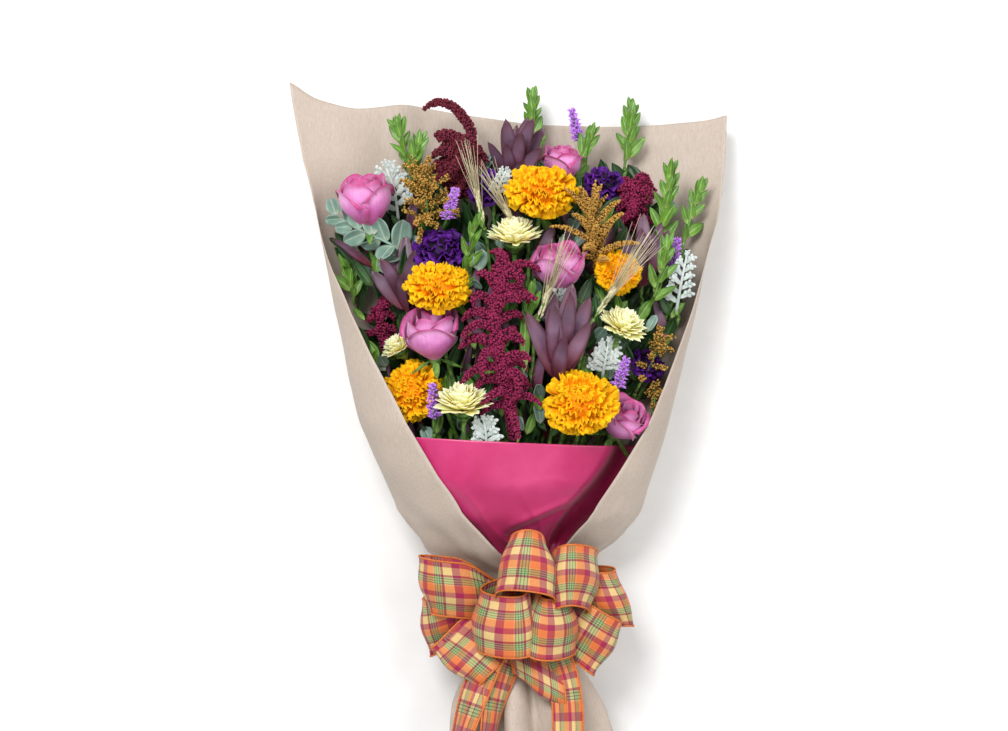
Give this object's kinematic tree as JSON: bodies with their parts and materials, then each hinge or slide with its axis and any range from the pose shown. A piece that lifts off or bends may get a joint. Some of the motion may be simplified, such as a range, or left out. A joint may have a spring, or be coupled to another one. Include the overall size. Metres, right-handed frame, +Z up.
{
  "type": "mixed flower bouquet",
  "caption": "Hand-tied mixed flower bouquet in kraft paper and a pink inner sheet, tied at the waist with a plaid ribbon bow, lying on its back.",
  "frame": {"origin": "centre of the bounding box in X and Y, on the surface that the bouquet lies on", "axes": "+X to the bouquet's right seen from the front, +Y from the cut stems to the flower heads, +Z up, out of the front of the bouquet"},
  "size_m": [0.443, 0.6886, 0.1758],
  "materials": {
    "kraft_paper": "matt brown kraft wrapping paper",
    "pink_paper": "coated deep pink wrapping sheet, soft sheen",
    "ribbon_plaid": "woven plaid ribbon in orange, green, yellow and wine with orange wired edges",
    "rubber_band": "tan rubber band",
    "stem_green": "fresh green stem, calyx and leaf, satin",
    "rose_petal": "lavender pink petal, velvety",
    "marigold_petal": "orange ruffled petal",
    "carnation_petal": "dark purple frilled petal",
    "cream_petal": "cream petal with a yellow green centre",
    "amaranthus_red": "wine red tiny florets, velvety",
    "lance_leaf": "plum and grey leathery leaf, satin",
    "goldenrod_bronze": "bronze gold tiny florets",
    "fresh_leaf": "bright green leaf, satin",
    "liatris_violet": "violet thready florets",
    "dusty_miller_leaf": "silver grey felted leaf",
    "eucalyptus_leaf": "grey green leaf, waxy",
    "barley_straw": "pale green straw ear and awns"
  },
  "bodies": {
    "root": {"amaranthus_centre": "amaranthus_red", "amaranthus_right": "amaranthus_red", "amaranthus_top": "amaranthus_red", "barley_centre": "barley_straw", "barley_left": "barley_straw", "barley_right": "barley_straw", "carnation_left": "carnation_petal", "carnation_right": "carnation_petal", "carnation_top": "carnation_petal", "carnation_upper_right": "carnation_petal", "daisy_front": "cream_petal", "daisy_left": "cream_petal", "daisy_right": "cream_petal", "daisy_upper": "cream_petal", "dusty_miller_front": "dusty_miller_leaf", "dusty_miller_lower_right": "dusty_miller_leaf", "dusty_miller_right": "dusty_miller_leaf", "dusty_miller_upper_left": "dusty_miller_leaf", "eucalyptus_left": "eucalyptus_leaf", "goldenrod_left": "goldenrod_bronze", "goldenrod_lower_right": "goldenrod_bronze", "goldenrod_right": "goldenrod_bronze", "green_right": "fresh_leaf", "green_right_edge": "fresh_leaf", "green_top": "fresh_leaf", "green_top_right": "fresh_leaf", "green_upper_left": "fresh_leaf", "kraft_paper": "kraft_paper", "lance_leaves_centre": "lance_leaf", "lance_leaves_left": "lance_leaf", "lance_leaves_right": "lance_leaf", "lance_leaves_top": "lance_leaf", "liatris_lower_left": "liatris_violet", "liatris_lower_right": "liatris_violet", "liatris_right": "liatris_violet", "liatris_top": "liatris_violet", "marigold_front": "marigold_petal", "marigold_left": "marigold_petal", "marigold_left_edge": "marigold_petal", "marigold_right": "marigold_petal", "marigold_top": "marigold_petal", "pink_paper": "pink_paper", "ribbon_bow": "ribbon_plaid", "rose_centre": "rose_petal", "rose_lower_left": "rose_petal", "rose_lower_right": "rose_petal", "rose_top": "rose_petal", "rose_upper_left": "rose_petal", "stem_band": "rubber_band", "stems": "stem_green", "waist_tie": "ribbon_plaid"}
  },
  "joints": []
}
